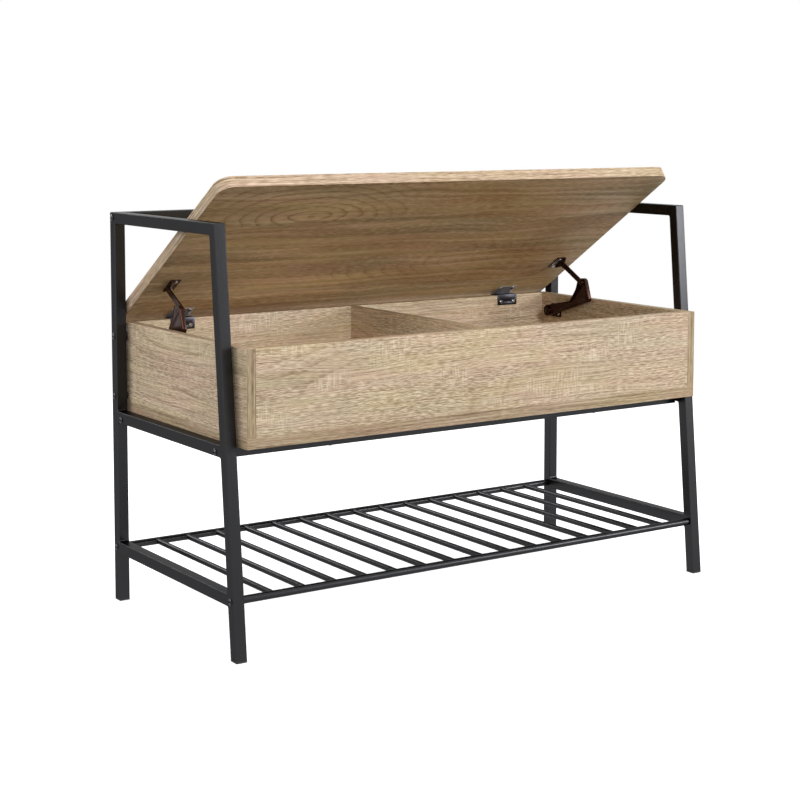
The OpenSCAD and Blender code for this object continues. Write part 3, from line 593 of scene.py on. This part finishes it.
def sideFrame(side):
    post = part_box(side + "_rear_post")
    floor = post[0].z
    top = post[1].z
    bead = (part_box(side + "_low_rail")[1].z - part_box(side + "_low_rail")[0].z - tube) / 2
    levels = [railLevels(side, name) for name in ("low_rail", "mid_rail", "top_rail")]

    def front(z):
        return legFront(side, z)

    def back(z):
        return legFront(side, z) + tube

    inner = post[0].y
    under = levels[0][0]
    corner = tubeWork["topCorner"]
    outline = [(front(floor), floor), (back(floor), floor), (back(under), under), (inner, under),
        (inner, floor), (post[1].y, floor), (post[1].y, top), (front(top), top)]
    rings = [roundedCorners(outline, [0, 0, bead, bead, 0, 0, corner, corner])]
    for below, above in zip(levels, levels[1:]):
        sill, head = below[1], above[0]
        window = [(back(sill), sill), (inner, sill), (inner, head), (back(head), head)]
        rings.append(roundedCorners(window, [bead] * 4))
    data = bpy.data.curves.new(side + "SideFrame", "CURVE")
    data.dimensions = "2D"
    data.fill_mode = "BOTH"
    data.bevel_depth = tubeWork["corner"]
    data.bevel_resolution = 2
    data.offset = -tubeWork["corner"]
    data.extrude = tube / 2 - tubeWork["corner"]
    for ring in rings:
        spline = data.splines.new("POLY")
        spline.points.add(len(ring) - 1)
        spline.use_cyclic_u = True
        for point, place in zip(spline.points, ring):
            point.co = (place.x, place.y, 0, 1)
    holder = bpy.data.objects.new(side + "SideFrame", data)
    scene.collection.objects.link(holder)
    mesh = plainMesh(holder)
    middle = (post[0].x + post[1].x) / 2
    mesh.transform(Matrix(((0, 0, 1, middle), (1, 0, 0, 0), (0, 1, 0, 0), (0, 0, 0, 1))))
    bm = bmesh.new()
    bm.from_mesh(mesh)
    bmesh.ops.remove_doubles(bm, verts=bm.verts, dist=1e-5)
    bmesh.ops.recalc_face_normals(bm, faces=bm.faces)
    bm.to_mesh(mesh)
    bm.free()
    smoothFaces(mesh, 50)
    mesh.materials.clear()
    stands = [f"{side}_{name}" for name in ("rear_post", "front_post", "top_rail", "mid_rail", "low_rail")]
    return link(side + "SideFrame", weighted(mesh), finish["coat"], "frame", stands)


for side in ("left", "right"):
    sideFrame(side)
for railNode, railPiece in (("rear_top_rail", "rearTopRail"), ("front_cross_rail", "frontCrossRail"),
        ("rear_cross_rail", "rearCrossRail")):
    railMesh = blockMesh(railPiece, *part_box(railNode), tubeWork["corner"])
    smoothFaces(railMesh, 50)
    link(railPiece, weighted(railMesh), finish["coat"], "frame", [railNode])
print("side frames and rails made")


# Shelf: tubes across, rods between them, each with its weld beads

shelf = {"sides": 64, "rodSides": 28, "beadWidth": 0.0019, "beadSunk": 0.0001, "beadSteps": 36}


def tubeAcross(node, name):
    low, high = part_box(node)
    radius = (high.z - low.z) / 2
    bm = bmesh.new()
    bmesh.ops.create_cone(bm, cap_ends=True, segments=shelf["sides"], radius1=radius, radius2=radius,
        depth=high.x - low.x)
    mesh = bpy.data.meshes.new(name)
    bm.to_mesh(mesh)
    bm.free()
    mesh.transform(Matrix.Translation((low + high) / 2) @ Matrix.Rotation(math.pi / 2, 4, "Y"))
    smoothFaces(mesh)
    return link(name, mesh, finish["coat"], "frame", [node])


def rodTemplate(length, rodRadius, tubeRadius):
    # one rod along Y about the origin, ending inside the tubes, with a bead at each end
    bm = bmesh.new()
    turn = Matrix.Rotation(math.pi / 2, 4, "X")
    bmesh.ops.create_cone(bm, cap_ends=True, segments=shelf["rodSides"], radius1=rodRadius,
        radius2=rodRadius, depth=length, matrix=turn)
    width = shelf["beadWidth"]
    profile = [(0.0, 1.0), (0.30, 0.46), (0.62, 0.16), (1.0, -0.12)]  # out from the rod, along the rod
    for end in (-1, 1):
        rows = []
        for k in range(shelf["beadSteps"]):
            angle = 2 * math.pi * k / shelf["beadSteps"]
            row = []
            for out, along in profile:
                r = rodRadius - shelf["beadSunk"] + out * width
                x = r * math.cos(angle)
                z = r * math.sin(angle)
                reach = math.sqrt(max(tubeRadius ** 2 - min(abs(z), tubeRadius) ** 2, 0))
                row.append(bm.verts.new((x, end * (length / 2 - reach - along * width), z)))
            rows.append(row)
        for k, row in enumerate(rows):
            nextRow = rows[(k + 1) % len(rows)]
            for a in range(len(profile) - 1):
                quad = [row[a], row[a + 1], nextRow[a + 1], nextRow[a]]
                bm.faces.new(quad if end > 0 else quad[::-1])
    mesh = bpy.data.meshes.new("rodTemplate")
    bm.to_mesh(mesh)
    bm.free()
    return mesh


def repeatTree():
    tree = bpy.data.node_groups.new("repeatAcross", "GeometryNodeTree")
    face = tree.interface
    face.new_socket("Geometry", in_out="INPUT", socket_type="NodeSocketGeometry")
    sockets = {"count": face.new_socket("Count", in_out="INPUT", socket_type="NodeSocketInt"),
        "start": face.new_socket("Start", in_out="INPUT", socket_type="NodeSocketVector"),
        "pitch": face.new_socket("Pitch", in_out="INPUT", socket_type="NodeSocketVector"),
        "material": face.new_socket("Material", in_out="INPUT", socket_type="NodeSocketMaterial")}
    face.new_socket("Geometry", in_out="OUTPUT", socket_type="NodeSocketGeometry")
    given = addNode(tree, "NodeGroupInput")
    line = addNode(tree, "GeometryNodeMeshLine", {"Count": given.outputs["Count"],
        "Start Location": given.outputs["Start"], "Offset": given.outputs["Pitch"]}, mode="OFFSET")
    placed = addNode(tree, "GeometryNodeInstanceOnPoints", {"Points": line.outputs[0],
        "Instance": given.outputs["Geometry"]})
    real = addNode(tree, "GeometryNodeRealizeInstances", {0: placed.outputs[0]})
    painted = addNode(tree, "GeometryNodeSetMaterial", {"Geometry": real.outputs[0],
        "Material": given.outputs["Material"]})
    out = addNode(tree, "NodeGroupOutput")
    tree.links.new(painted.outputs[0], out.inputs[0])
    return tree, {key: socket.identifier for key, socket in sockets.items()}


def shelfRods():
    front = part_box("shelf_front_tube")
    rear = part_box("shelf_rear_tube")
    rods = solidBoxes("shelf_rods")
    tubeRadius = (front[1].z - front[0].z) / 2
    rodRadius = (rods[0][1].x - rods[0][0].x) / 2
    y0 = (front[0].y + front[1].y) / 2
    y1 = (rear[0].y + rear[1].y) / 2
    centres = sorted((low.x + high.x) / 2 for low, high in rods)
    mesh = rodTemplate(y1 - y0, rodRadius, tubeRadius)
    holder = bpy.data.objects.new("shelfRods", mesh)
    scene.collection.objects.link(holder)
    modifier = holder.modifiers.new("rods", "NODES")
    modifier.node_group, keys = repeatTree()
    modifier[keys["count"]] = len(centres)
    modifier[keys["start"]] = (centres[0], (y0 + y1) / 2, (front[0].z + front[1].z) / 2)
    modifier[keys["pitch"]] = ((centres[-1] - centres[0]) / (len(centres) - 1), 0, 0)
    modifier[keys["material"]] = finish["coat"]
    made = plainMesh(holder)
    smoothFaces(made, 45)
    return link("shelfRods", made, finish["coat"], "frame", ["shelf_rods"])


tubeAcross("shelf_front_tube", "shelfFrontTube")
tubeAcross("shelf_rear_tube", "shelfRearTube")
shelfRods()
print("shelf made")


# Wooden panels

# A figure is a stave's number, the place of its lower joint across the grain, and the place
# of its arch along the grain. The lid's edges give where they start on the edging's figure.
boards = {
    "edgeRadius": 0.0007, "lidRadius": 0.0011, "seed": 11,
    "lidRearEdge": (21, 3), "lidRoundEdge": (5.4, 1.7),
    "figures": {"box_front": (7, 0.434, -0.44), "box_left_side": (4, 0.366, 0.03),
        "box_right_side": (9, 0.366, 0.10), "box_back": (12, 0.40, 0.30), "box_divider": (15, 0.41, 0.1),
        "lid under": (7, -0.451, -0.26), "lid top": (20, -0.33, 0.10)},
}
grainSeed = random.Random(boards["seed"])


def figureShift(figure):
    # how far a face is moved on the oak's figure to bring that stave and that arch to their places
    stave, joint, arch = figure
    run = oak["run"] * ((stave * oak["shiftStep"]) % 1.0)
    return (oak["arch"] * 1.5 - arch - run, stave * oak["stave"] - joint)


def grainMap(mesh, grainAxis, figure=None):
    # u runs along the grain of each face, v across it, both in metres
    layer = mesh.uv_layers.new(name="grain")
    size = [max(v.co[i] for v in mesh.vertices) - min(v.co[i] for v in mesh.vertices) for i in range(3)]
    thin = size.index(min(size))
    shifts = {}
    for polygon in mesh.polygons:
        normal = [abs(value) for value in polygon.normal]
        facing = normal.index(max(normal))
        others = [i for i in range(3) if i != facing]
        if facing == thin:
            along = grainAxis
        else:
            along = max(others, key=lambda i: size[i])
        across = [i for i in others if i != along][0]
        polygon.material_index = 0 if facing == thin else 1
        key = (facing, polygon.normal[facing] > 0)
        if key not in shifts:
            shifts[key] = (grainSeed.uniform(0, 30), grainSeed.uniform(0, 12))
            if figure and facing == thin:
                shifts[key] = figureShift(figure)
        for loop in polygon.loop_indices:
            place = mesh.vertices[mesh.loops[loop].vertex_index].co
            layer.data[loop].uv = (place[along] + shifts[key][0], place[across] + shifts[key][1])


def board(node, name, grainAxis, face="oak"):
    mesh = blockMesh(name, *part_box(node), boards["edgeRadius"], 2)
    mesh.materials.append(finish[face])
    mesh.materials.append(finish["oakBand"])
    grainMap(mesh, grainAxis, boards["figures"].get(node))
    smoothFaces(mesh, 50)
    return link(name, weighted(mesh), finish[face], "frame", [node])


# the bottom, back and divider take the lighter oak copy with its painted light
board("box_bottom", "boxBottom", 0, "oakInside")
board("box_front", "boxFront", 0)
board("box_back", "boxBack", 0, "oakInside")
board("box_left_side", "boxLeftSide", 1)
board("box_right_side", "boxRightSide", 1)
board("box_divider", "boxDivider", 1, "oakInside")

hinge = Vector(joints["lid_hinge"]["pos_m"])
openAngle = math.radians(-joints["lid_hinge"]["range_deg"][0])
closedToRest = Matrix.Translation(hinge) @ Matrix.Rotation(-openAngle, 4, "X")
restToClosed = closedToRest.inverted()


def lidOutline(width, nearHinge, length, radius, steps=14):
    # points round the closed lid seen from above, with its two front corners round
    points = [(-width / 2, -nearHinge)]
    middle = width / 2 - radius
    for x, y, start in ((-middle, -length + radius, math.pi), (middle, -length + radius, 1.5 * math.pi)):
        for step in range(steps + 1):
            angle = start + math.pi / 2 * step / steps
            points.append((x + radius * math.cos(angle), y + radius * math.sin(angle)))
    points.append((width / 2, -nearHinge))
    return points


def lid():
    closed = [restToClosed @ v.co for v in nodes["lid_panel"].data.vertices]
    low = [min(v[i] for v in closed) for i in range(3)]
    high = [max(v[i] for v in closed) for i in range(3)]
    width = high[0] - low[0]
    frontRow = [v.x for v in closed if v.y < low[1] + 1e-5]
    radius = (width - (max(frontRow) - min(frontRow))) / 2
    outline = lidOutline(width, -high[1], -low[1], radius)
    bm = bmesh.new()
    rings = [[bm.verts.new((*place, z)) for place in outline] for z in (low[2], high[2])]
    bm.faces.new(rings[0][::-1])
    bm.faces.new(rings[1])
    count = len(outline)
    for i in range(count):
        j = (i + 1) % count
        bm.faces.new((rings[0][i], rings[0][j], rings[1][j], rings[1][i]))
    rims = [edge for edge in bm.edges if abs(edge.verts[0].co.z - edge.verts[1].co.z) < 1e-6]
    rear = [edge for edge in bm.edges if max(v.co.y for v in edge.verts) > high[1] - 1e-6]
    uprights = [edge for edge in rear if edge not in rims]
    bmesh.ops.bevel(bm, geom=rims + uprights, offset=boards["lidRadius"], segments=2, profile=0.5,
        affect="EDGES")
    bmesh.ops.recalc_face_normals(bm, faces=bm.faces)
    mesh = bpy.data.meshes.new("lidPanel")
    bm.to_mesh(mesh)
    bm.free()
    # the lid's top, its underside with its painted shade, and its edges
    for name in ("oak", "oakUnder", "oakLidEdge"):
        mesh.materials.append(finish[name])

    layer = mesh.uv_layers.new(name="grain")
    faceShift = {True: figureShift(boards["figures"]["lid top"]),
        False: figureShift(boards["figures"]["lid under"])}
    for polygon in mesh.polygons:
        flat = abs(polygon.normal.z) > 0.6
        polygon.material_index = (0 if polygon.normal.z > 0 else 1) if flat else 2
        for loop in polygon.loop_indices:
            place = mesh.vertices[mesh.loops[loop].vertex_index].co
            if flat:
                shift = faceShift[polygon.normal.z > 0]
                run, across = place.x, place.y
            elif polygon.normal.y > 0.7:
                shift = boards["lidRearEdge"]
                run, across = place.x, place.z
            else:
                shift = boards["lidRoundEdge"]
                run, across = edgeRun(place, width, -low[1], radius), place.z
            layer.data[loop].uv = (run + shift[0], across + shift[1])
    mesh.transform(closedToRest)
    smoothFaces(mesh, 50)
    return link("lidPanel", weighted(mesh), finish["oak"], "lid", ["lid_panel"])


def edgeRun(place, width, length, radius):
    # distance along the lid's edge from its left rear corner
    side = -1 if place.x < 0 else 1
    inX = width / 2 - radius - abs(place.x)
    inY = length - radius + place.y
    half = (length - radius) + radius * math.pi / 2 + width / 2 - radius
    if inX >= 0:
        run = half - abs(place.x)
    elif inY >= 0:
        run = -place.y
    else:
        run = length - radius + radius * math.atan2(-inY, -inX)
    return run if side < 0 else 2 * half - run


lid()
print("panels and lid made")


# Fasteners: one template each, set on its places by nodes

fastener = {
    "boltSides": 40, "boltRim": 0.0008,
    "socketAcross": 0.0046, "socketDepth": 0.0018,  # the hexagon is measured over its corners
    "socketRise": 0.001,  # how far its cutter stands above the head
}


def scatterTree():
    tree = bpy.data.node_groups.new("setFasteners", "GeometryNodeTree")
    face = tree.interface
    face.new_socket("Geometry", in_out="INPUT", socket_type="NodeSocketGeometry")
    sockets = {"template": face.new_socket("Template", in_out="INPUT", socket_type="NodeSocketObject"),
        "material": face.new_socket("Material", in_out="INPUT", socket_type="NodeSocketMaterial")}
    face.new_socket("Geometry", in_out="OUTPUT", socket_type="NodeSocketGeometry")
    given = addNode(tree, "NodeGroupInput")
    source = addNode(tree, "GeometryNodeObjectInfo", {"Object": given.outputs["Template"]})
    way = addNode(tree, "GeometryNodeInputNamedAttribute", {"Name": "outward"}, data_type="FLOAT_VECTOR")
    turned = addNode(tree, "FunctionNodeAlignRotationToVector", {"Vector": way.outputs["Attribute"]},
        axis="Z")
    placed = addNode(tree, "GeometryNodeInstanceOnPoints", {"Points": given.outputs["Geometry"],
        "Instance": source.outputs["Geometry"], "Rotation": turned.outputs["Rotation"]})
    real = addNode(tree, "GeometryNodeRealizeInstances", {0: placed.outputs[0]})
    painted = addNode(tree, "GeometryNodeSetMaterial", {"Geometry": real.outputs[0],
        "Material": given.outputs["Material"]})
    out = addNode(tree, "NodeGroupOutput")
    tree.links.new(painted.outputs[0], out.inputs[0])
    return tree, {key: socket.identifier for key, socket in sockets.items()}


fastenerTree, fastenerKeys = scatterTree()


def turnedHead(name, profile, sides, recess):
    # profile runs from the rim to the middle as radius and height; the recess is cut in the top
    bm = bmesh.new()
    rows = []
    for radius, height in profile:
        row = []
        for k in range(sides):
            angle = 2 * math.pi * k / sides
            row.append(bm.verts.new((radius * math.cos(angle), radius * math.sin(angle), height)))
        rows.append(row)
    for a, b in zip(rows, rows[1:]):
        for k in range(sides):
            j = (k + 1) % sides
            bm.faces.new((a[k], a[j], b[j], b[k]))
    bm.faces.new(rows[0][::-1])
    bm.faces.new(rows[-1])
    head = bpy.data.objects.new(name, bpy.data.meshes.new(name))
    bm.to_mesh(head.data)
    bm.free()
    scene.collection.objects.link(head)
    cutter = bpy.data.objects.new("cutter", recess)
    scene.collection.objects.link(cutter)
    cut = head.modifiers.new("recess", "BOOLEAN")
    cut.object = cutter
    cut.solver = "EXACT"
    mesh = plainMesh(head)
    bpy.data.objects.remove(cutter)
    smoothFaces(mesh, 35)
    return mesh


def prismMesh(points, z0, z1):
    bm = bmesh.new()
    low = [bm.verts.new((x, y, z0)) for x, y in points]
    high = [bm.verts.new((x, y, z1)) for x, y in points]
    bm.faces.new(low[::-1])
    bm.faces.new(high)
    for k in range(len(points)):
        j = (k + 1) % len(points)
        bm.faces.new((low[k], low[j], high[j], high[k]))
    mesh = bpy.data.meshes.new("recess")
    bm.to_mesh(mesh)
    bm.free()
    return mesh


def hexSocket(across, z0, z1):
    turns = [math.pi * k / 3 for k in range(6)]
    return prismMesh([(across / 2 * math.cos(turn), across / 2 * math.sin(turn)) for turn in turns], z0, z1)


def domeProfile(radius, height, rim, steps=8):
    crown = height - rim
    ball = (radius * radius + crown * crown) / (2 * crown)
    full = math.asin(radius / ball)
    profile = [(radius, 0.0), (radius, rim)]
    for step in range(1, steps):
        angle = full * (1 - step / steps)
        profile.append((ball * math.sin(angle), rim + ball * math.cos(angle) - ball + crown))
    return profile


def setFasteners(name, template, places, material, body, stands=()):
    mesh = bpy.data.meshes.new(name)
    mesh.from_pydata([place for place, way in places], [], [])
    outward = mesh.attributes.new("outward", "FLOAT_VECTOR", "POINT")
    for item, (place, way) in zip(outward.data, places):
        item.vector = way
    holder = bpy.data.objects.new(name, mesh)
    scene.collection.objects.link(holder)
    source = bpy.data.objects.new("template", template)
    scene.collection.objects.link(source)
    modifier = holder.modifiers.new("fasteners", "NODES")
    modifier.node_group = fastenerTree
    modifier[fastenerKeys["template"]] = source
    modifier[fastenerKeys["material"]] = material
    made = plainMesh(holder)
    bpy.data.objects.remove(source)
    return link(name, made, material, body, stands)


def frameBolts():
    places = []
    radius = height = 0
    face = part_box("left_rear_post")[0].x
    for low, high in solidBoxes("frame_bolts"):
        side = -1 if low.x + high.x < 0 else 1
        radius = (high.z - low.z) / 2
        height = face - low.x if side < 0 else height
        places.append(((side * abs(face), (low.y + high.y) / 2, (low.z + high.z) / 2), (side, 0, 0)))
    profile = domeProfile(radius, height, fastener["boltRim"])
    bottom, top = height - fastener["socketDepth"], height + fastener["socketRise"]
    socket = hexSocket(fastener["socketAcross"], bottom, top)
    template = turnedHead("boltHead", profile, fastener["boltSides"], socket)
    setFasteners("frameBolts", template, places, finish["bolt"], "frame", ["frame_bolts"])


frameBolts()
print("bolts set")


# Hardware kept from the frame, with its edges softened

softening = {
    "width": 0.00035, "leafWidth": 0.0002,
    "angle": 38,  # edges that turn by more than these degrees are softened
    "flat": 0.6,  # and faces that turn by less are one face
}


def flattened(node):
    # a merged copy of a node whose flat faces are single faces
    bm = mergedCopy(node)
    bmesh.ops.dissolve_limit(bm, angle_limit=math.radians(softening["flat"]), verts=bm.verts, edges=bm.edges)
    return bm


def softened(node, name, material, width):
    bm = flattened(node)
    mesh = bpy.data.meshes.new(name)
    bm.to_mesh(mesh)
    bm.free()
    mesh.materials.clear()
    holder = bpy.data.objects.new(name, mesh)
    scene.collection.objects.link(holder)
    bevel = holder.modifiers.new("edges", "BEVEL")
    bevel.width = width
    bevel.segments = 2
    bevel.limit_method = "ANGLE"
    bevel.angle_limit = math.radians(softening["angle"])
    bevel.harden_normals = False
    made = plainMesh(holder)
    smoothFaces(made, 34)
    return link(name, made, material, nodes[node]["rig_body"], [node])


def footGlides():
    # their upright corners are as round as the tube's
    bm = flattened("foot_glides")
    runs = {edge: (edge.verts[0].co - edge.verts[1].co).normalized() for edge in bm.edges}
    uprights = [edge for edge, run in runs.items() if abs(run.z) > 0.95]
    bmesh.ops.bevel(bm, geom=uprights, offset=tubeWork["corner"], segments=3, profile=0.5, affect="EDGES")
    mesh = bpy.data.meshes.new("footGlides")
    bm.to_mesh(mesh)
    bm.free()
    mesh.materials.clear()
    smoothFaces(mesh, 34)
    link("footGlides", mesh, finish["plastic"], "frame", ["foot_glides"])


footGlides()
for side in ("left", "right"):
    for part in ("base", "lower_arm", "upper_arm", "lid_bracket"):
        words = part.split("_")
        label = side + "Stay" + "".join(word.capitalize() for word in words)
        softened(f"{side}_stay_{part}", label, finish["bronze"], softening["width"])
    # the box leaves take the hinge steel, the lid leaves its paler copy with painted light
    for part, metalName in (("box", "hinge"), ("lid", "knuckle")):
        label = side + "Hinge" + part.capitalize() + "Leaf"
        softened(f"{side}_hinge_{part}_leaf", label, finish[metalName], softening["leafWidth"])
print("hinges and stays dressed")


# Finishes of the CAD nodes that stay as they are

slotFinish = {"frame_coat": "coat", "oak": "oak", "dowel_wood": "beech", "glide_plastic": "plastic",
    "bolt_black": "bolt", "insert_steel": "zinc", "screw_steel": "nickel", "hinge_steel": "hinge",
    "stay_bronze": "bronze"}
for entry in frame["record"]["subparts"]:
    mesh = nodes[entry["node"]].data
    mesh.materials.clear()
    mesh.materials.append(finish[slotFinish[entry["material_slot"]]])
print("frame nodes finished")
